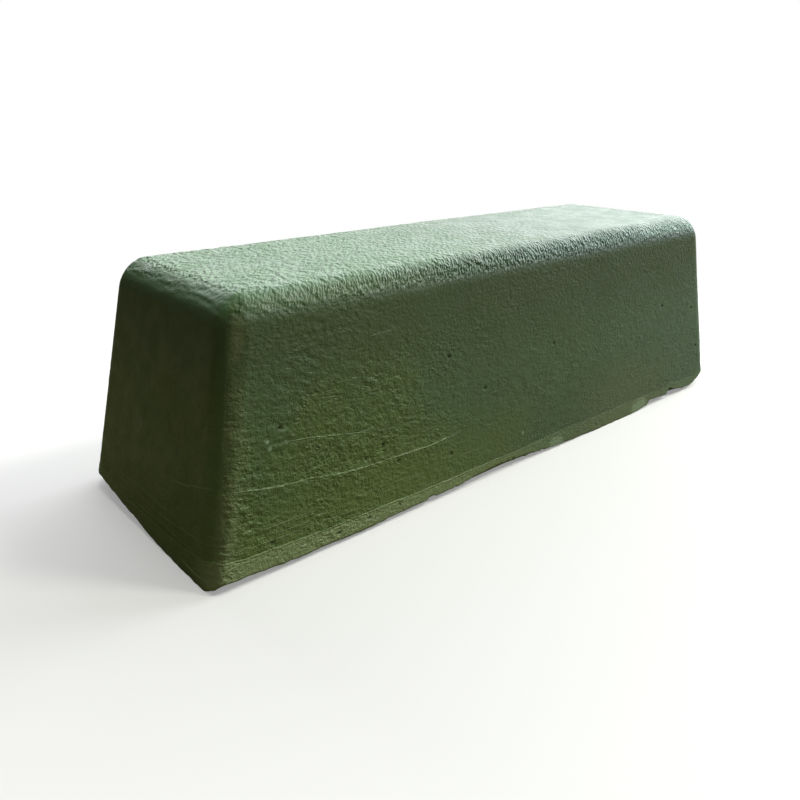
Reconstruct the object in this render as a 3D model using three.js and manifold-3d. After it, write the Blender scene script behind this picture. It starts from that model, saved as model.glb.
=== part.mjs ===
// A bar of green buffing compound: one block of abrasive-filled wax, poured into an open
// tapered mould and knocked out when cold. It stands on its pour side, the face that was
// open to the air. Millimetres, +Z up, origin on the bench under the middle of the bar,
// +X along its length. One casting, so one mesh.
import * as THREE from "three";
import { mergeVertices } from "three/addons/utils/BufferGeometryUtils.js";
import Module from "manifold-3d";

// Outside of the bar.
const BASE_LENGTH = 120;
const BASE_WIDTH = 40;
const HEIGHT = 35;

// Mould draft: how far each wall has leaned in by the full height.
const END_DRAFT = 7;
const SIDE_DRAFT = 4;

// Mould radii. The upright radius stays the larger, or the fillet would have no corner left.
const UPRIGHT_RADIUS = 4.1;
const TOP_FILLET = 4;
const FILLET_STEPS = 8;
const ARC_STEPS = 8;

// Facets of the ellipsoids, round and from pole to pole.
const HOLLOW_FACETS = [48, 12];
const CHIP_FACETS = [9, 6];

// Vertices closer than this are one.
const WELD_GAP = 1e-4;

// The band at the foot, where the wax crept up the rim of the mould: it stands on a straight
// edge, leans in over the rest of its height and ends in a small step down to the wall.
const BAND_HEIGHT = 2.6;
const BAND_EDGE = 0.6;
const BAND_LEAN = 0.12;
const BAND_STEP = 0.08;

// The pour side sinks as the wax shrinks, and leaves a flat rim to stand on.
const SINK_DEPTH = 1.1;
const RIM_WIDTH = 4;

// Chips broken out of the foot. along and across are shares of the half length and half
// width, so 1 is the wall itself; size is the half length, half width and height of the bite.
const CHIPS = [
  { along: -0.87, across: -1, size: [6.4, 1.0, 1.3] },
  { along: -0.63, across: -1, size: [10, 1.0, 1.1] },
  { along: -0.33, across: -1, size: [11, 1.0, 1.3] },
  { along: -0.05, across: -1, size: [12, 0.9, 1.1] },
  { along: 0.68, across: -1, size: [5, 1.5, 1.9] },
  { along: 0.93, across: -0.97, size: [7.5, 3, 2.1] },
  { along: 0.3, across: 1, size: [4, 1.3, 1.2] },
  { along: 1, across: 0.45, size: [1.3, 2.8, 1.3] },
  { along: -1, across: 0.95, size: [2.2, 5, 2.6] },
];

const COMPOUND_GREEN = 0x4a5c36;

const wasm = await Module();
wasm.setup();

// A closed three.js geometry as a manifold-3d solid.
function toSolid(geometry) {
  const bare = geometry.clone();
  bare.deleteAttribute("normal");
  bare.deleteAttribute("uv");
  const merged = mergeVertices(bare, WELD_GAP);
  return new wasm.Manifold(
    new wasm.Mesh({
      numProp: 3,
      vertProperties: merged.attributes.position.array,
      triVerts: new Uint32Array(merged.index.array),
    }),
  );
}

// A manifold-3d solid as a three.js geometry.
function toGeometry(solid) {
  const mesh = solid.getMesh();
  const geometry = new THREE.BufferGeometry();
  geometry.setAttribute("position", new THREE.BufferAttribute(mesh.vertProperties, 3));
  geometry.setIndex(new THREE.BufferAttribute(mesh.triVerts, 1));
  return geometry;
}

// The outline of the bar seen from above, its corners as arcs.
function roundedRectangle(length, width, radius) {
  const x = length / 2 - radius;
  const y = width / 2 - radius;
  const shape = new THREE.Shape();
  shape.absarc(x, y, radius, 0, Math.PI / 2);
  shape.absarc(-x, y, radius, Math.PI / 2, Math.PI);
  shape.absarc(-x, -y, radius, Math.PI, 1.5 * Math.PI);
  shape.absarc(x, -y, radius, 1.5 * Math.PI, 2 * Math.PI);
  return shape;
}

// Leans the walls in with height, as the mould's draft does.
function applyDraft(geometry) {
  const position = geometry.attributes.position;
  for (let i = 0; i < position.count; i++) {
    const rise = position.getZ(i) / HEIGHT;
    position.setX(i, position.getX(i) * (1 - (END_DRAFT * rise) / (BASE_LENGTH / 2)));
    position.setY(i, position.getY(i) * (1 - (SIDE_DRAFT * rise) / (BASE_WIDTH / 2)));
  }
  return geometry;
}

// A slab of the rounded outline, height high above the bench. Its rim leans in by edge over
// the last rise of that height. three.js bevels both ends, so the lower bevel lies wholly
// below the bench, where it is cut off.
function slab(length, width, height, edge, rise, segments) {
  const geometry = new THREE.ExtrudeGeometry(roundedRectangle(length, width, UPRIGHT_RADIUS), {
    depth: height,
    curveSegments: ARC_STEPS,
    bevelThickness: rise,
    bevelSize: edge,
    bevelOffset: -edge,
    bevelSegments: segments,
  });
  geometry.translate(0, 0, -rise);
  return geometry;
}

// The walls, rounded up to the top face.
function moulding() {
  const inset = 2 * (BAND_LEAN + BAND_STEP);
  const length = BASE_LENGTH - inset;
  const width = BASE_WIDTH - inset;
  return slab(length, width, HEIGHT, TOP_FILLET, TOP_FILLET, FILLET_STEPS);
}

// The band round the foot.
function footBand() {
  return slab(BASE_LENGTH, BASE_WIDTH, BAND_HEIGHT, BAND_LEAN, BAND_HEIGHT - BAND_EDGE, 1);
}

// Everything under the bench, to cut the casting off flat.
function belowBench() {
  const box = new THREE.BoxGeometry(2 * BASE_LENGTH, 2 * BASE_WIDTH, HEIGHT);
  box.translate(0, 0, -HEIGHT / 2);
  return toSolid(box);
}

// An ellipsoid, for the hollow under the bar and for the chips.
function ellipsoid(halfSize, centre, facets) {
  const ball = new THREE.SphereGeometry(1, ...facets);
  ball.scale(...halfSize);
  ball.translate(...centre);
  return toSolid(ball);
}

function shrinkHollow() {
  const halfLength = BASE_LENGTH / 2 - RIM_WIDTH;
  const halfWidth = BASE_WIDTH / 2 - RIM_WIDTH;
  return ellipsoid([halfLength, halfWidth, SINK_DEPTH], [0, 0, 0], HOLLOW_FACETS);
}

function chip({ along, across, size }) {
  const centre = [(along * BASE_LENGTH) / 2, (across * BASE_WIDTH) / 2, 0];
  return ellipsoid(size, centre, CHIP_FACETS);
}

const poured = toSolid(applyDraft(moulding())).add(toSolid(applyDraft(footBand())));
const casting = [belowBench(), shrinkHollow(), ...CHIPS.map(chip)].reduce(
  (solid, bite) => solid.subtract(bite),
  poured,
);

const compoundBar = new THREE.Mesh(
  toGeometry(casting),
  new THREE.MeshStandardMaterial({
    color: COMPOUND_GREEN,
    roughness: 0.6,
    metalness: 0,
  }),
);
compoundBar.name = "compound_bar";

const part = new THREE.Group();
part.add(compoundBar);

export default part;
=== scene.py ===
"""A bar of green buffing compound, standing on its pour side on a pale floor.

The bar is one casting. Its skin is a quad mesh laid over the smooth mould shape, and then
worked like the real surface: pebbled where the wax froze against the mould, lined where
the pour paused, banded at the foot where the wax crept up, and chipped along its edge.
"""

import math
from itertools import product

import bpy
import numpy as np
from mathutils import Matrix, Vector


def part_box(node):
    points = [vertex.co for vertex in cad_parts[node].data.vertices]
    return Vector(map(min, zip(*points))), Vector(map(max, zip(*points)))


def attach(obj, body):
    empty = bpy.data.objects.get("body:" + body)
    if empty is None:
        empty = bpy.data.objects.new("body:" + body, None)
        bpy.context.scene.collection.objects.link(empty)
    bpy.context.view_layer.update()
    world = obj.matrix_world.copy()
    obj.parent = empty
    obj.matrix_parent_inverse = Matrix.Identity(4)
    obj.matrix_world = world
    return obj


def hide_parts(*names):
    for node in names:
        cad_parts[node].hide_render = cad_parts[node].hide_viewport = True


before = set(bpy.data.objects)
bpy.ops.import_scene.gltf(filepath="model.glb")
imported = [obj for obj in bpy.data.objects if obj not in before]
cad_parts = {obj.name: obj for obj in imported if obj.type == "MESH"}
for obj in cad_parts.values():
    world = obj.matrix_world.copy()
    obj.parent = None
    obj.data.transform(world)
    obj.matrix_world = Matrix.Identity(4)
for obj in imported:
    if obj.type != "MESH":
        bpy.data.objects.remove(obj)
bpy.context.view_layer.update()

# Lengths are in millimetres up to make_mesh, which turns them into metres.
MM = 0.001
NODE = "compound_bar"
LOW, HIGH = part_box(NODE)
LENGTH, WIDTH, HEIGHT = (HIGH - LOW) / MM

# The mould, as in the CAD. Its upright corners go from the foot's radius to the rim's,
# which is also the radius of the fillet round the top.
END_DRAFT = 7.0
SIDE_DRAFT = 4.0
FOOT_RADIUS = 4.1
RIM_RADIUS = 4.0
BAND_HEIGHT = 2.6
BAND_LEAN = 0.12
BAND_STEP = 0.08
SINK_DEPTH = 1.1
RIM_WIDTH = 4.0

# What the CAD leaves out: at the foot the near left corner turns into the long wall on a
# crisper radius, and the top is a little lower at the near end.
CRISP_RADIUS = 1.2
TOP_DIP = 0.4

# How far apart the skin's vertices are, along and across the bar and up it.
FLAT_SPACING = 0.25
UP_SPACING = 0.20

# Each pour line: where it starts and ends, its heights at even stations between, and how
# far the layer under it stands proud. Places are measured round the foot: 0 is the near
# left corner, the long side runs to LENGTH, and the near end runs to -WIDTH.
BACK = LENGTH + WIDTH
POUR_LINES = (
    (-14.0, 2.5, (9.5, 10.8, 12.4, 12.6), 0.09),
    (1.0, 44.0, (12.6, 10.9, 9.7, 9.4, 9.1, 9.5), 0.11),
    (8.0, 28.0, (16.5, 15.0, 14.0), 0.06),
    (22.0, 33.0, (27.1, 27.7), 0.05),
    (-10.0, 2.0, (1.2, 1.1, 1.3), 0.10),
    (LENGTH + 6.0, LENGTH + 30.0, (9.0, 10.2, 8.8), 0.08),
    (BACK + 14.0, BACK + 66.0, (8.0, 9.6, 9.0, 10.4), 0.09),
    (BACK + 50.0, BACK + 84.0, (15.2, 14.1, 14.6), 0.05),
)

# How far below a pour line its layer still stands proud.
LAYER_REACH = 1.6

# The foot band is this much taller at the near left corner, and back to its own height
# some way along.
BAND_EXTRA = 1.5
BAND_EXTRA_REACH = 9.0

# How far round the near left corner its edge is rubbed pale and given a painted highlight.
CORNER_WEAR_AND_HIGHLIGHT = 1.6

# The fine lines that run above the foot band, by their height over its top, and how proud
# the wax under each stands.
LINE_GAPS = (0.6, 1.2, 2.0, 3.0)
LINE_RELIEF = 0.05

# The frozen skin: how deep each kind of relief is, and how far apart its bumps are.
LONG_SWELL, LONG_SWELL_SPACING = 0.08, 26.0
SHORT_SWELL, SHORT_SWELL_SPACING = 0.05, 9.0
LUMP, LUMP_SPACING = 0.105, 0.90
PEBBLE, PEBBLE_SPACING = 0.024, 0.55
STROKE, STROKE_SPACING = 0.09, 0.70
FOLD, FOLD_SPACING = 0.07, 0.75

# Places round the foot, and how high its edge has lifted or broken away there.
LIFT = (
    (-WIDTH, 3.0), (-33.0, 2.1), (-26.0, 1.3), (-16.0, 0.3), (-9.0, 0.0),
    (-2.2, 0.0), (-0.6, 0.35), (0.5, 0.55), (1.3, 1.30), (5.0, 1.15), (10.0, 0.80),
    (24.0, 0.55), (38.0, 0.90), (57.0, 0.85), (68.0, 0.30), (80.0, 0.0), (90.0, 0.0),
    (94.8, 0.4), (96.2, 1.3), (98.8, 1.1), (102.3, 0.9), (103.7, 2.1), (105.4, 1.4),
    (108.6, 0.7), (111.5, 0.8), (114.0, 1.4), (LENGTH - 3.0, 2.5), (LENGTH + 2.0, 2.2),
    (LENGTH + 6.0, 0.4), (LENGTH + 20.0, 0.0), (BACK, 0.3), (BACK + 30.0, 0.0),
    (BACK + 90.0, 0.5), (BACK + LENGTH, 1.5),
)

# Bites out of the foot: where the middle is, along and across from the bar's middle, and
# half the length, half the width and the height.
CHIPS = (
    (-9.0, -20.0, 11.5, 1.3, 1.5),
    (-24.0, -20.0, 1.1, 0.7, 1.3),
    (60.0, 9.0, 1.5, 3.4, 1.6),
    (18.0, 20.0, 4.2, 1.3, 1.4),
    (24.0, 20.0, 1.8, 0.9, 0.9),
    (-33.0, 20.0, 2.6, 0.9, 1.0),
)

# Burst bubbles and stuck crumbs on the long wall: along from the bar's middle, and height.
MORE_BUBBLES = 10
BUBBLE_RADIUS = 0.30
BUBBLE_DEPTH = 0.30
CRUMB_RADIUS = 0.32
CRUMB_RELIEF = 0.14
BUBBLES = ((-35.4, 10.5), (-32.3, 11.6), (-29.9, 8.5), (-41.0, 1.5), (-35.7, 1.9), (-30.2, 1.9))
CRUMBS = ((-49.9, 16.2), (-50.2, 17.1), (-46.7, 1.9), (-34.6, 1.0), (-3.0, 5.0))

# Pale scuffs on the long wall's foot, in the same way.
SCUFF_RADIUS = 1.2
SCUFFS = ((30.6, 0.9), (32.0, 1.2), (33.4, 1.4), (5.2, 0.9), (6.6, 0.8))

# The photographer's place: degrees round the bar and above the floor, millimetres.
AZIMUTH = -41.81
ELEVATION = 21.55
ROLL = 0.77
DISTANCE = 130.9
AIM = (-10.74, 2.35, 6.31)
LENS = 33.24
SENSOR_WIDTH = 36.0
CLOSEST_SEEN = 5.0

# Linear colours of the wax and its marks, with painted shade, highlights and sheen among them.
OLIVE = (0.098, 0.156, 0.042, 1)
MOSS = (0.086, 0.150, 0.052, 1)
COOL_GREEN = (0.092, 0.168, 0.108, 1)
MOTTLE = (0.060, 0.085, 0.036, 1)
SPECK = (0.20, 0.25, 0.13, 1)
# Painted shade: the long wall darker under the rim.
UNDER_RIM_SHADE = (0.056, 0.090, 0.038, 1)
# Painted shade: the long wall darker down its middle.
SHADE = (0.045, 0.070, 0.045, 1)
DEEP_GREEN = (0.045, 0.105, 0.040, 1)
# Painted reflection: a bluish cast for the light the far fillets reflect.
BLUE_GREEN_REFLECTION = (0.110, 0.200, 0.170, 1)
# Painted shade where the long fillets meet the wall.
CREASE_SHADE = (0.030, 0.058, 0.048, 1)
LOW_BROWN = (0.125, 0.150, 0.078, 1)
LOW_YELLOW = (0.135, 0.195, 0.055, 1)
# Painted sheen on the top, partly real dust bloom: a paler mint and a grey.
MINT_BLOOM_AND_SHEEN = (0.124, 0.240, 0.130, 1)
DUST_AND_SHEEN = (0.220, 0.220, 0.215, 1)
BAND = (0.230, 0.290, 0.140, 1)
# Corner rubbed pale, with a painted highlight on it.
WORN_EDGE_AND_HIGHLIGHT = (0.190, 0.230, 0.110, 1)
# Painted highlight along the pour and band lines.
LINE_HIGHLIGHT = (0.240, 0.300, 0.150, 1)
FRESH = (0.230, 0.320, 0.210, 1)
SCUFF = (0.330, 0.450, 0.310, 1)
# Painted shade: burst bubbles painted near black.
PIT_SHADE = (0.015, 0.020, 0.010, 1)

# Half the width of a line painted pale as a highlight, where the pour paused and along the
# band.
POUR_LINE = 0.17
BAND_LINE = 0.14

# The studio, in metres and watts. Paper and room are paler to the camera than to the light
# that bounces between them and the bar. The paper turns white between two distances.
FLOOR_REACH = 6.0
PAPER_FADE = (0.05, 0.20)
PAPER_SEEN = (0.80, 0.78, 0.78, 1)
PAPER_BOUNCED = (0.20, 0.17, 0.08, 1)
ROOM_SEEN = (1, 1, 1, 1)
ROOM_BOUNCED = (0.020, 0.020, 0.016, 1)

# Each soft light: degrees round the bar and above the floor, size, power and colour.
LIGHT_DISTANCE = 0.60
WINDOW = (0.30, 0.26)
DAYLIGHT = (0.93, 0.97, 1.0)
LIGHTS = {
    "window_80": (80, 30, WINDOW, 2.9, DAYLIGHT),
    "window_110": (110, 30, WINDOW, 2.0, DAYLIGHT),
    "window_140": (140, 30, WINDOW, 1.3, DAYLIGHT),
    "window_170": (170, 30, WINDOW, 1.3, DAYLIGHT),
    "lamp": (50, 52, (0.10, 0.10), 1.62, (0.96, 1.0, 0.86)),
    "sky": (20, 84, (0.20, 0.20), 1.10, (0.96, 1.0, 0.90)),
    "fill": (-50, 15, (0.50, 0.40), 0.07, (1.0, 0.98, 0.70)),
}


# ---------------------------------------------------------------- noise

def noise(points, wavelength, seed):
    """Smooth gradient noise of about -1 to 1, one value for each point."""
    count = 4096
    table = np.random.default_rng(seed).normal(size=(count, 3))
    table /= np.linalg.norm(table, axis=1)[:, None]
    place = points / wavelength + 100.0
    cell = np.floor(place).astype(np.int64)
    local = place - cell
    fade = local ** 3 * (local * (local * 6 - 15) + 10)
    total = np.zeros(len(points))
    for corner in product((0, 1), repeat=3):
        at = cell + corner
        mixed = at[:, 0] * 73856093 ^ at[:, 1] * 19349663 ^ at[:, 2] * 83492791
        pick = mixed & (count - 1)
        weight = np.prod(np.where(corner, fade, 1 - fade), axis=1)
        total += weight * np.einsum("ij,ij->i", table[pick], local - corner)
    return total * 1.7


def ramp(values, start, end):
    """0 before start, 1 after end, smooth between; start may be the larger."""
    t = np.clip((values - start) / (end - start), 0, 1)
    return t * t * (3 - 2 * t)


# ---------------------------------------------------------------- smooth skin

def lattice():
    """A box's skin: its points as whole-number places, the quads between them, each quad's
    box face, how many steps the box has along each axis, and each quad's corner places."""
    steps = np.array([
        round(LENGTH / FLAT_SPACING),
        round(WIDTH / FLAT_SPACING),
        round(HEIGHT / UP_SPACING),
    ])
    quads, faces = [], []
    for axis, side in product(range(3), (0, 1)):
        a, b = (axis + 1) % 3, (axis + 2) % 3
        i, j = np.meshgrid(np.arange(steps[a]), np.arange(steps[b]), indexing="ij")
        corners = np.zeros((i.size, 4, 3), np.int64)
        corners[:, :, axis] = side * steps[axis]
        turn = ((0, 0), (1, 0), (1, 1), (0, 1))
        outward = turn if side else turn[:1] + turn[:0:-1]
        for n, (di, dj) in enumerate(outward):
            corners[:, n, a] = i.ravel() + di
            corners[:, n, b] = j.ravel() + dj
        quads.append(corners)
        faces.append(np.full(i.size, axis * 2 + side))
    corners = np.concatenate(quads)
    size = steps + 1
    key = (corners[..., 2] * size[1] + corners[..., 1]) * size[0] + corners[..., 0]
    keys, index = np.unique(key, return_inverse=True)
    rows, x = np.divmod(keys, size[0])
    z, y = np.divmod(rows, size[1])
    places = np.stack([x, y, z], 1)
    return places, index.reshape(key.shape), np.concatenate(faces), steps, corners


def smooth_bar(places, steps):
    """The mould shape: points, outward normals, the same points on a box with no draft or
    rounding, and which of them are on the underside, inside its edge.

    Each point of the box moves to an ellipsoid round the nearest point of a smaller core,
    so the corners and the rim can turn on different radii.
    """
    inset = BAND_LEAN + BAND_STEP
    half = np.array([LENGTH / 2 - inset, WIDTH / 2 - inset])
    box = places / steps * 2 - 1
    level = (box[:, 2] + 1) / 2 * HEIGHT
    flat = np.column_stack([box[:, 0] * half[0], box[:, 1] * half[1], level])
    upright = np.clip(flat[:, 2] / (HEIGHT - RIM_RADIUS), 0, 1)
    near_corner = ramp(flat[:, 0], 0.0, -30.0) * ramp(flat[:, 1], 5.0, -10.0)
    foot = FOOT_RADIUS + (CRISP_RADIUS - FOOT_RADIUS) * near_corner
    radii = np.column_stack([
        foot + (RIM_RADIUS - foot) * upright,
        FOOT_RADIUS + (RIM_RADIUS - FOOT_RADIUS) * upright,
        np.full(len(flat), RIM_RADIUS),
    ])
    core = flat.copy()
    for axis in (0, 1):
        reach = half[axis] - radii[:, axis]
        core[:, axis] = np.clip(flat[:, axis], -reach, reach)
    core[:, 2] = np.minimum(flat[:, 2], HEIGHT - RIM_RADIUS)
    out = (flat - core) / radii
    safe = np.maximum(np.linalg.norm(out, axis=1), 1e-9)[:, None]
    points = core + radii * out * np.abs(out).max(axis=1)[:, None] / safe
    normals = out / safe / radii
    normals /= np.maximum(np.linalg.norm(normals, axis=1), 1e-9)[:, None]
    under = places[:, 2] == 0
    inner = under & (np.abs(box[:, :2]).max(axis=1) < 1)
    normals[inner] = (0, 0, -1)
    edge = under & ~inner
    normals[edge] += (0, 0, -0.5)
    rise = points[:, 2] / HEIGHT
    points[:, 0] *= 1 - END_DRAFT * rise / (LENGTH / 2)
    points[:, 1] *= 1 - SIDE_DRAFT * rise / (WIDTH / 2)
    normals /= np.linalg.norm(normals, axis=1)[:, None]
    return points, normals, flat, inner


def round_the_foot(flat):
    """How far round the foot each point is, from -WIDTH to 2 * LENGTH + WIDTH, and how far
    in from the nearest wall."""
    x, y = flat[:, 0], flat[:, 1]
    sides = np.stack([y + WIDTH / 2, LENGTH / 2 - x, WIDTH / 2 - y, x + LENGTH / 2])
    nearest = sides.argmin(axis=0)
    along = np.stack([
        x + LENGTH / 2,
        LENGTH + y + WIDTH / 2,
        BACK + LENGTH / 2 - x,
        -(y + WIDTH / 2),
    ])
    return along[nearest, np.arange(len(x))], sides.min(axis=0)


# ---------------------------------------------------------------- relief

def nearness(points):
    """1 by the near end, where the wax froze lumpiest, and 0 from the middle on."""
    return ramp(points[:, 0], -5.0, -45.0)


def pebbles(points, wall):
    """The frozen skin: swells, lumps towards the near end, and pebbles all over."""
    swell = LONG_SWELL * noise(points, LONG_SWELL_SPACING, 1)
    swell += SHORT_SWELL * noise(points, SHORT_SWELL_SPACING, 2)
    near = nearness(points)
    low = 1 - 0.5 * ramp(points[:, 2], 18.0, 28.0)
    patch = np.clip(0.75 + 0.8 * noise(points, 8.0, 5), 0.1, None)
    lumps = noise(points * (0.7, 0.7, 1.2), LUMP_SPACING, 3) * (0.35 + 0.65 * near) * low
    small = noise(points, PEBBLE_SPACING, 4) * (0.7 + 0.3 * near) * (1.9 - 0.9 * wall)
    return swell + patch * (LUMP * lumps + PEBBLE * small)


def rim_wrinkles(points, normals):
    """Strokes down the long fillets and folds along the end ones, and how far each point is
    on a long fillet, 0 to 1."""
    curl = np.clip(normals[:, 2], 0, 1) * np.sqrt(np.clip(1 - normals[:, 2] ** 2, 0, 1)) * 2
    curl *= ramp(normals[:, 2], 0.15, 0.45)
    side = ramp(np.abs(normals[:, 1]) - np.abs(normals[:, 0]), 0.0, 0.2)
    lean = points[:, 0] + 0.7 * points[:, 2]
    leaning = np.column_stack([lean, points[:, 1] * 0.35, points[:, 2] * 0.35])
    strokes = noise(leaning, STROKE_SPACING, 6)
    folds = noise(points * (1.0, 0.22, 1.0), FOLD_SPACING, 7)
    return curl * (side * STROKE * strokes + (1 - side) * FOLD * folds), curl * side


def thinning(distance, strength):
    """A line's distance, growing where the line is weak, so that the line tapers away."""
    return distance / np.clip(strength, 0.02, 1)


def pour_lines(points, around):
    """The layers under the pour lines, proud of the wall above, and the distance to each
    line."""
    squat = points * (1, 1, 0.2)
    wobble = 0.08 * noise(squat, 3.0, 8) + 0.45 * noise(squat, 11.0, 9)
    relief = np.zeros(len(points))
    distances = {}
    proudest = max(line[-1] for line in POUR_LINES)
    for n, (start, end, heights, proud) in enumerate(POUR_LINES):
        stations = np.linspace(start, end, len(heights))
        below = np.interp(around, stations, heights) + wobble - points[:, 2]
        fade = ramp(around, start, start + 4) * ramp(around, end, end - 8)
        step = ramp(below, -0.10, 0.12) * np.exp(-np.clip(below, 0, None) / LAYER_REACH)
        relief += proud * fade * step
        distances[f"pour_{n}"] = thinning(below, fade * proud / proudest)
    return relief, distances


def band_top(points, around):
    """The height of the foot band, taller by the near corner."""
    plan = points * (1, 1, 0)
    wander = 0.25 * noise(plan, 16.0, 10) + 0.08 * noise(plan, 3.0, 11) - 0.1
    extra = BAND_EXTRA * np.exp(-np.abs(around) / BAND_EXTRA_REACH)
    return BAND_HEIGHT + extra + wander


def foot_band(points, around):
    """The band itself, how far each point is in it, and the fine lines along and above it."""
    top = band_top(points, around)
    clear = (1 - 0.70 * ramp(around, 20.0, 75.0)) * (1 - 0.7 * ramp(around, -1.0, -6.0))
    in_band = ramp(points[:, 2], top + 0.10, top - 0.12)
    relief = clear * in_band * (BAND_STEP + BAND_LEAN * np.clip(1 - points[:, 2] / top, 0, 1))
    distances = {"edge_0": thinning(top - points[:, 2], clear)}
    plan = points * (1, 1, 0)
    for n, gap in enumerate(LINE_GAPS, start=1):
        drift = 0.3 * noise(plan, 10.0, 20 + n)
        below = top + gap + drift - points[:, 2]
        patchy = ramp(noise(plan, 9.0, 30 + n), -0.20, 0.40)
        patchy *= 0.10 + 0.75 * np.exp(-np.clip(around, 0, None) / 26.0)
        step = ramp(below, -0.08, 0.10) * np.exp(-np.clip(below, 0, None) / 0.5)
        relief += LINE_RELIEF * patchy * step
        distances[f"edge_{n}"] = thinning(below, patchy)
    return relief, in_band * clear, distances


def spots(points, places, radius):
    """Small round spots on the long wall: 1 in the middle of each, falling to 0."""
    share = np.zeros(len(points))
    for x, z in places:
        gap = np.linalg.norm(points - (x, SIDE_DRAFT * z / HEIGHT - WIDTH / 2, z), axis=1)
        share = np.maximum(share, np.exp(-(gap / radius) ** 4))
    return share


def scattered(count, seed):
    """Places for more bubbles, anywhere on the long wall."""
    random = np.random.default_rng(seed)
    return np.column_stack([
        random.uniform(-0.45, 0.45, count) * LENGTH,
        random.uniform(0.1, 0.85, count) * HEIGHT,
    ])


# ---------------------------------------------------------------- foot

def lift_foot(points, around, inward):
    """Raises the ragged edge of the foot, and the rim behind it with it."""
    plan = points * (1, 1, 0)
    ragged = 0.10 * noise(plan, 1.3, 40) + 0.12 * noise(plan, 5.0, 41) + 0.05
    edge = np.clip(np.interp(around, *zip(*LIFT)) + ragged, 0, None)
    reach = 1.0 + 1.4 * edge
    share = np.clip(1 - points[:, 2] / reach, 0, 1) * np.exp(-(inward / 1.5) ** 2)
    rise = edge * share / HEIGHT
    points[:, 0] *= 1 - END_DRAFT * rise / (LENGTH / 2)
    points[:, 1] *= 1 - SIDE_DRAFT * rise / (WIDTH / 2)
    points[:, 2] += HEIGHT * rise


def hollow(points, inner):
    """The sunk middle of the underside."""
    half = (LENGTH / 2 - RIM_WIDTH, WIDTH / 2 - RIM_WIDTH)
    away = (points[:, 0] / half[0]) ** 2 + (points[:, 1] / half[1]) ** 2
    sink = SINK_DEPTH * np.sqrt(np.clip(1 - away, 0, 1))
    points[inner, 2] += sink[inner]


def bite(points, x, y, half_x, half_y, height):
    """Carves one chip: points inside an ellipsoid move in and up until they are out of it.
    It returns those points' numbers and their new places."""
    centre = np.array([x, y, 0.0])
    radii = np.array([half_x, half_y, height])
    near = np.flatnonzero((np.abs(points - centre) < 1.5 * radii).all(axis=1))
    points = points[near]
    broken = 1 + 0.16 * noise(points, 1.1, 50) + 0.10 * noise(points, 0.5, 51)
    radii = radii * broken[:, None]
    at_wall = np.abs(centre) > np.array([LENGTH / 2, WIDTH / 2, HEIGHT]) - RIM_WIDTH
    inward = -centre * at_wall / np.linalg.norm(centre * at_wall) + (0, 0, 0.8)
    push = inward / radii
    place = (points - centre) / radii
    a = np.einsum("ij,ij->i", push, push)
    b = np.einsum("ij,ij->i", place, push)
    c = np.einsum("ij,ij->i", place, place) - 1
    inside = c < 0
    travel = np.zeros(len(points))
    travel[inside] = (-b + np.sqrt(np.maximum(b * b - a * c, 0)))[inside] / a[inside]
    return near[inside], (points + travel[:, None] * inward)[inside]


# ---------------------------------------------------------------- the bar

def atlas_place(corners, faces, steps):
    """Where each quad corner lies on a flat sheet of the six faces, from 0 to 1."""
    room = 2.0
    sheet = LENGTH + WIDTH + 6 * room
    at = corners / steps * (LENGTH, WIDTH, HEIGHT)
    third_row = room + 2 * (WIDTH + room)
    column = LENGTH + 3 * room
    plots = {
        5: (0, 1, room, room),
        4: (0, 1, room, 2 * room + WIDTH),
        2: (0, 2, room, third_row),
        3: (0, 2, room, third_row + HEIGHT + room),
        0: (1, 2, column, room),
        1: (1, 2, column, 2 * room + HEIGHT),
    }
    uv = np.zeros(corners.shape[:2] + (2,))
    for face, (a, b, left, foot) in plots.items():
        on = faces == face
        uv[on, :, 0] = (at[on][..., a] + left) / sheet
        uv[on, :, 1] = (at[on][..., b] + foot) / sheet
    return uv


def make_mesh(name, points, quads, uv, marks):
    """A smooth-shaded mesh object in metres, with one named value per vertex for each mark."""
    mesh = bpy.data.meshes.new(name)
    mesh.from_pydata((points * MM).tolist(), [], quads.tolist())
    mesh.polygons.foreach_set("use_smooth", np.ones(len(quads), bool))
    layer = mesh.uv_layers.new(name="OFBake")
    layer.data.foreach_set("uv", uv.reshape(-1).astype(np.float32))
    for mark, values in marks.items():
        attribute = mesh.attributes.new(mark, "FLOAT", "POINT")
        attribute.data.foreach_set("value", values.astype(np.float32))
    mesh.validate()
    mesh.update()
    made = bpy.data.objects.new(name, mesh)
    bpy.context.scene.collection.objects.link(made)
    return made


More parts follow.
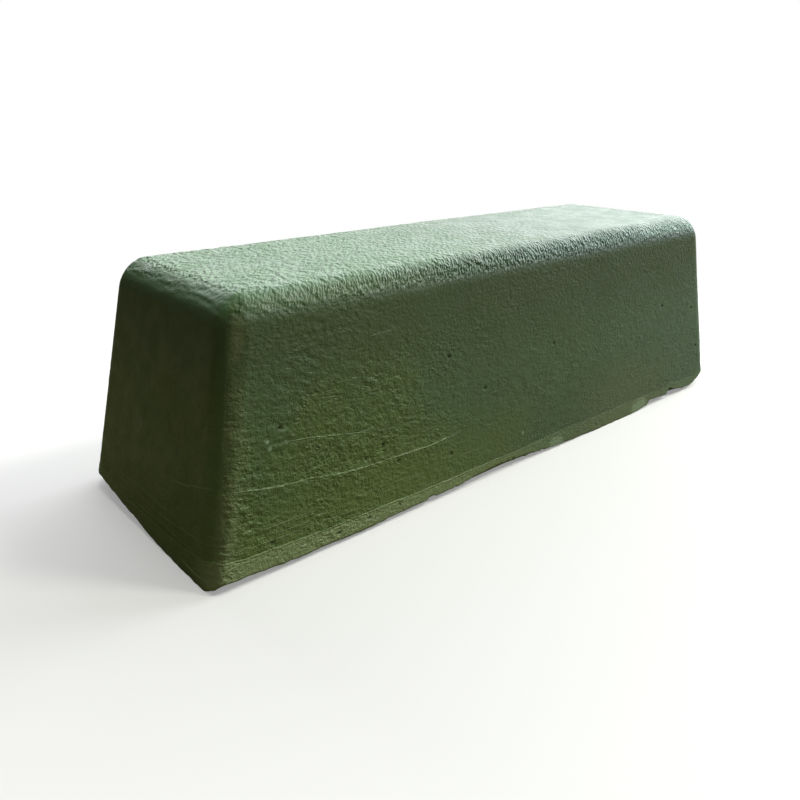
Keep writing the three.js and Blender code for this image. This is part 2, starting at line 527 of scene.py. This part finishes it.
def cast_bar():
    """The whole bar as one closed mesh."""
    places, quads, faces, steps, corners = lattice()
    points, normals, flat, inner = smooth_bar(places, steps)
    around, inward = round_the_foot(flat)
    inward = np.where(inner, inward, 0.0)
    wall = ramp(normals[:, 2], 0.60, 0.30) * (places[:, 2] > 0)
    end_on = ramp(np.abs(normals[:, 0]) - np.abs(normals[:, 1]), 0.0, 0.3)
    grain = 1 - 0.7 * ramp(end_on * (1 - normals[:, 2]), 0.2, 0.6)
    wrinkles, curl = rim_wrinkles(points, normals)
    relief = grain * pebbles(points, wall) + wrinkles
    layers, lines = pour_lines(points, around)
    relief += layers * wall
    band_relief, in_band, edges = foot_band(points, around)
    on_side = ~inner
    calm = 1 - 0.45 * in_band
    relief = relief * calm + band_relief * on_side
    bubble = spots(points, (*BUBBLES, *scattered(MORE_BUBBLES, 60)), BUBBLE_RADIUS)
    crumb = spots(points, CRUMBS, CRUMB_RADIUS)
    relief += CRUMB_RELIEF * crumb - BUBBLE_DEPTH * bubble
    points += normals * relief[:, None]
    points[:, 2] -= TOP_DIP * points[:, 2] / HEIGHT * ramp(points[:, 0], 30.0, -50.0)
    lift_foot(points, around, inward)
    hollow(points, inner)
    fresh = np.zeros(len(points))
    for chip in CHIPS:
        bitten, moved = bite(points, *chip)
        points[bitten] = moved
        fresh[bitten] = 1
    points[:, 2] = np.clip(points[:, 2], 0, None)
    under_fillet = np.exp(-((normals[:, 2] - 0.33) / 0.14) ** 2)
    low_near = nearness(points) * ramp(points[:, 2], 34.0, 16.0)
    marks = {
        "band": in_band * on_side,
        # The near corner: rubbed pale, and a painted highlight.
        "corner": np.exp(-((around - CORNER_WEAR_AND_HIGHLIGHT) / CORNER_WEAR_AND_HIGHLIGHT) ** 2) * wall,
        "fresh": fresh,
        "scuff": np.maximum(1.8 * crumb, spots(points, SCUFFS, SCUFF_RADIUS)),
        # Burst bubbles, painted dark as shade.
        "pit_shade": bubble,
        "grain": grain * (0.42 + 0.58 * low_near),
        "curl": curl,
        # Painted shade where the long fillets turn into the wall.
        "crease_shade": under_fillet * ramp(-normals[:, 1], 0.3, 0.7),
        "wall": wall,
        # Upward faces, which take the paler top: partly dust bloom, partly painted sheen.
        "top": ramp(normals[:, 2] + 0.40 * end_on, 0.7, 0.95),
        "flat": ramp(normals[:, 2], 0.85, 0.98),
        **lines,
        **edges,
    }
    return make_mesh("cast_bar", points, quads, atlas_place(corners, faces, steps), marks)


# ---------------------------------------------------------------- material

class Nodes:
    """Short calls for building one material's node tree."""

    def __init__(self, material):
        material.use_nodes = True
        self.tree = material.node_tree
        self.shader = self.tree.nodes["Principled BSDF"]
        self.place = self.tree.nodes.new("ShaderNodeTexCoord").outputs["Object"]

    def put(self, socket, value):
        if isinstance(value, bpy.types.NodeSocket):
            self.tree.links.new(value, socket)
        else:
            socket.default_value = value

    def noise(self, wavelength, detail=2.0, roughness=0.5, stretch=(1, 1, 1), turn=(0, 0, 0)):
        turned = self.tree.nodes.new("ShaderNodeMapping")
        turned.vector_type = "TEXTURE"
        self.put(turned.inputs["Vector"], self.place)
        self.put(turned.inputs["Scale"], stretch)
        self.put(turned.inputs["Rotation"], [math.radians(angle) for angle in turn])
        node = self.tree.nodes.new("ShaderNodeTexNoise")
        self.put(node.inputs["Vector"], turned.outputs["Vector"])
        self.put(node.inputs["Scale"], 1 / (wavelength * MM))
        self.put(node.inputs["Detail"], detail)
        self.put(node.inputs["Roughness"], roughness)
        return node.outputs["Fac"]

    def ramp(self, value, low, high, to_low=0.0, to_high=1.0):
        node = self.tree.nodes.new("ShaderNodeMapRange")
        node.interpolation_type = "SMOOTHSTEP"
        names = ("Value", "From Min", "From Max", "To Min", "To Max")
        for name, given in zip(names, (value, low, high, to_low, to_high)):
            self.put(node.inputs[name], given)
        return node.outputs["Result"]

    def math(self, operation, a, b):
        node = self.tree.nodes.new("ShaderNodeMath")
        node.operation = operation
        self.put(node.inputs[0], a)
        self.put(node.inputs[1], b)
        return node.outputs[0]

    def mix(self, share, a, b):
        node = self.tree.nodes.new("ShaderNodeMix")
        node.data_type = "RGBA"
        self.put(node.inputs["Factor"], share)
        self.put(node.inputs["A"], a)
        self.put(node.inputs["B"], b)
        return node.outputs["Result"]

    def mark(self, name):
        node = self.tree.nodes.new("ShaderNodeAttribute")
        node.attribute_name = name
        return node.outputs["Fac"]

    def bump(self, height, depth, strength, under=None):
        node = self.tree.nodes.new("ShaderNodeBump")
        self.put(node.inputs["Height"], height)
        node.inputs["Distance"].default_value = depth * MM
        self.put(node.inputs["Strength"], strength)
        if under is not None:
            self.put(node.inputs["Normal"], under)
        return node.outputs["Normal"]


def thin_lines(n, prefix, count, half_width):
    """1 on the middle of each of the bar's lines, 0 beyond half its width."""
    total = 0.0
    for i in range(count):
        away = n.math("ABSOLUTE", n.mark(f"{prefix}_{i}"), 0.0)
        total = n.math("MAXIMUM", n.ramp(away, 0.02, half_width, 1.0, 0.0), total)
    return total


def between(n, axis, start, end, at_start=0.0, at_end=1.0):
    """A smooth change from one place on an axis of the bar to another, in millimetres."""
    split = n.tree.nodes.new("ShaderNodeSeparateXYZ")
    n.put(split.inputs[0], n.place)
    return n.ramp(split.outputs[axis], start * MM, end * MM, at_start, at_end)


def marked(n, mark, share):
    """A mark's strength, times a number or a socket."""
    return n.math("MULTIPLY", n.mark(mark), share)


def wax_colour(n, along):
    """The mottled body: olive at the near end, cooler at the far one."""
    colour = n.mix(n.ramp(n.noise(11.0), 0.35, 0.65), OLIVE, MOSS)
    colour = n.mix(along, colour, COOL_GREEN)
    colour = n.mix(n.ramp(n.noise(1.6, 3.0), 0.40, 0.70, 0.0, 0.35), colour, MOTTLE)
    return n.mix(n.ramp(n.noise(0.45, 1.0), 0.64, 0.80, 0.0, 0.45), colour, SPECK)


def tints_and_painted_light(n, colour, along):
    """Colour by place: painted shade under the rim, down the middle and below the long fillets,
    deeper green and a painted blue-green reflection on the fillets, yellow and brown low down,
    and a paler top, partly dust bloom and partly painted sheen.
    """
    low = between(n, "Z", 4, 15, 0.6, 0.0)
    far = n.math("MULTIPLY", n.ramp(along, 0.5, 0.8), between(n, "X", 28, 50, 1.0, 0.0))
    overlays = (
        # Painted shade: the long wall darker towards the rim.
        (marked(n, "wall", between(n, "Z", 14, 31, 0.0, 0.80)), UNDER_RIM_SHADE),
        # Painted shade down the middle of the long wall.
        (marked(n, "wall", between(n, "X", -35, -5, 0.0, 0.27)), SHADE),
        (marked(n, "curl", n.ramp(along, 0.1, 0.6, 0.60, 0.0)), DEEP_GREEN),
        # Painted reflection: blue-green on the long fillets towards the far end.
        (marked(n, "curl", n.ramp(along, 0.0, 0.7, 0.0, 0.8)), BLUE_GREEN_REFLECTION),
        # Painted shade below the long fillets.
        (marked(n, "crease_shade", n.ramp(along, 0.2, 0.8, 0.1, 0.6)), CREASE_SHADE),
        (n.math("MULTIPLY", low, far), LOW_BROWN),
        (n.math("MULTIPLY", low, n.ramp(along, 0.0, 0.6, 1.0, 0.0)), LOW_YELLOW),
        # Paler top: partly dust bloom, partly painted sheen.
        (marked(n, "top", n.ramp(along, 0.0, 0.9, 0.60, 0.20)), MINT_BLOOM_AND_SHEEN),
        (marked(n, "top", n.ramp(along, 0.10, 0.6, 0.0, 0.22)), DUST_AND_SHEEN),
    )
    for share, overlay in overlays:
        colour = n.mix(share, colour, overlay)
    return colour


def wear_and_painted_light(n, colour, lines):
    """Breaks, rubbing and painted light: the foot band, the near corner rubbed pale with a
    painted highlight, the lines painted pale as a highlight, chips, scuffs, and pits painted
    dark as shade.
    """
    wear_and_light = (
        (marked(n, "band", 0.85), BAND),
        # Near corner rubbed pale, with a painted highlight.
        (marked(n, "corner", n.ramp(n.noise(4.0, 3.0), 0.35, 0.65, 0.2, 0.7)), WORN_EDGE_AND_HIGHLIGHT),
        # Painted highlight: the lines painted pale.
        (n.math("MULTIPLY", lines, n.ramp(n.noise(2.5), 0.35, 0.60, 0.08, 0.34)), LINE_HIGHLIGHT),
        (marked(n, "fresh", 0.60), FRESH),
        (marked(n, "scuff", 0.50), SCUFF),
        # Painted shade in the burst bubbles.
        (n.mark("pit_shade"), PIT_SHADE),
    )
    for share, tint in wear_and_light:
        colour = n.mix(share, colour, tint)
    return colour


def fine_skin(n, lines):
    """Bumps too fine for the mesh: pebbles, strokes on the long fillets, and grain."""
    rough = marked(n, "grain", n.ramp(n.noise(7.0), 0.32, 0.60, 0.50, 1.0))
    skin = n.bump(n.noise(0.50, 1.0, stretch=(1.15, 1.0, 0.9)), 0.27, rough)
    away_near = between(n, "X", -50, -5, 0.25, 1.0)
    away_far = between(n, "X", 15, 50, 1.0, 0.35)
    middle = n.math("MULTIPLY", away_near, away_far)
    strokes = n.noise(0.31, 1.0, stretch=(0.9, 2.5, 2.5), turn=(0, 35, 0))
    skin = n.bump(strokes, 1.40, marked(n, "curl", middle), skin)
    near_top = marked(n, "flat", between(n, "X", -15, 35, 1.0, 0.12))
    sparkle = n.noise(0.60, 1.0, stretch=(1, 2, 1), turn=(0, 0, -40))
    skin = n.bump(sparkle, 0.75, near_top, skin)
    skin = n.bump(lines, 0.05, 1.0, skin)
    return n.bump(n.noise(0.20, 2.0, 0.6), 0.10, n.mark("grain"), skin)


def compound():
    """Chromium-oxide wax: dull green, mottled, with a fine pebbled and speckled skin."""
    material = bpy.data.materials.new("compound")
    n = Nodes(material)
    along = between(n, "X", -45, 55)
    pours = marked(n, "wall", thin_lines(n, "pour", len(POUR_LINES), POUR_LINE))
    edges = marked(n, "wall", thin_lines(n, "edge", len(LINE_GAPS) + 1, BAND_LINE))
    lines = n.math("MAXIMUM", pours, edges)
    colour = wear_and_painted_light(n, tints_and_painted_light(n, wax_colour(n, along), along), lines)
    roughness = n.ramp(n.noise(3.0, 3.0), 0.3, 0.7, 0.46, 0.60)
    n.put(n.shader.inputs["Base Color"], colour)
    n.put(n.shader.inputs["Roughness"], roughness)
    n.put(n.shader.inputs["Specular IOR Level"], 0.45)
    n.put(n.shader.inputs["Normal"], fine_skin(n, lines))
    return material


def pale_floor():
    """Matt paper, fading to plain white away from the bar, for the camera only."""
    material = bpy.data.materials.new("floor")
    n = Nodes(material)
    n.put(n.shader.inputs["Roughness"], 0.9)
    away = n.tree.nodes.new("ShaderNodeVectorMath")
    away.operation = "LENGTH"
    n.put(away.inputs[0], n.place)
    path = n.tree.nodes.new("ShaderNodeLightPath")
    seen = n.mix(path.outputs["Is Camera Ray"], PAPER_BOUNCED, PAPER_SEEN)
    n.put(n.shader.inputs["Base Color"], seen)
    far = n.ramp(away.outputs["Value"], *PAPER_FADE, 0.30, 1.0)
    white = n.tree.nodes.new("ShaderNodeEmission")
    blend = n.tree.nodes.new("ShaderNodeMixShader")
    n.put(blend.inputs[0], n.math("MULTIPLY", far, path.outputs["Is Camera Ray"]))
    n.put(blend.inputs[1], n.shader.outputs[0])
    n.put(blend.inputs[2], white.outputs[0])
    n.put(n.tree.nodes["Material Output"].inputs["Surface"], blend.outputs[0])
    return material


# ---------------------------------------------------------------- studio

def floor():
    mesh = bpy.data.meshes.new("floor")
    turn = ((-1, -1), (1, -1), (1, 1), (-1, 1))
    corners = [(x * FLOOR_REACH, y * FLOOR_REACH, 0) for x, y in turn]
    mesh.from_pydata(corners, [], [(0, 1, 2, 3)])
    made = bpy.data.objects.new("floor", mesh)
    bpy.context.scene.collection.objects.link(made)
    made.data.materials.append(pale_floor())


def looking(azimuth, elevation):
    """The direction from the bar towards someone at that azimuth and elevation."""
    a, e = math.radians(azimuth), math.radians(elevation)
    return Vector((math.sin(a) * math.cos(e), -math.cos(a) * math.cos(e), math.sin(e)))


def softbox(name, azimuth, elevation, size, power, colour):
    light = bpy.data.lights.new(name, "AREA")
    light.shape = "RECTANGLE"
    light.size, light.size_y = size
    light.energy = power
    light.color = colour
    made = bpy.data.objects.new(name, light)
    made.location = looking(azimuth, elevation) * LIGHT_DISTANCE
    made.rotation_euler = looking(azimuth, elevation).to_track_quat("Z", "Y").to_euler()
    made.visible_camera = False
    bpy.context.scene.collection.objects.link(made)


def surroundings():
    """White to the camera, and a dim even room to everything else."""
    world = bpy.data.worlds.new("room")
    bpy.context.scene.world = world
    world.use_nodes = True
    nodes, links = world.node_tree.nodes, world.node_tree.links
    back = nodes["Background"]
    path = nodes.new("ShaderNodeLightPath")
    pick = nodes.new("ShaderNodeMix")
    pick.data_type = "RGBA"
    pick.inputs["A"].default_value = ROOM_BOUNCED
    pick.inputs["B"].default_value = ROOM_SEEN
    links.new(path.outputs["Is Camera Ray"], pick.inputs["Factor"])
    links.new(pick.outputs["Result"], back.inputs["Color"])


def camera():
    data = bpy.data.cameras.new("camera")
    data.lens = LENS
    data.sensor_width = SENSOR_WIDTH
    data.clip_start = CLOSEST_SEEN * MM
    made = bpy.data.objects.new("camera", data)
    back = looking(AZIMUTH, ELEVATION)
    roll = Matrix.Rotation(math.radians(ROLL), 3, "Z")
    turn = back.to_track_quat("Z", "Y").to_matrix() @ roll
    place = (Vector(AIM) + back * DISTANCE) * MM
    made.matrix_world = Matrix.Translation(place) @ turn.to_4x4()
    bpy.context.scene.collection.objects.link(made)
    bpy.context.scene.camera = made


bar = cast_bar()
bar.data.materials.append(compound())
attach(bar, "root")
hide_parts(NODE)

floor()
surroundings()
for name, settings in LIGHTS.items():
    softbox(name, *settings)
camera()
bpy.context.scene.view_settings.view_transform = "Standard"
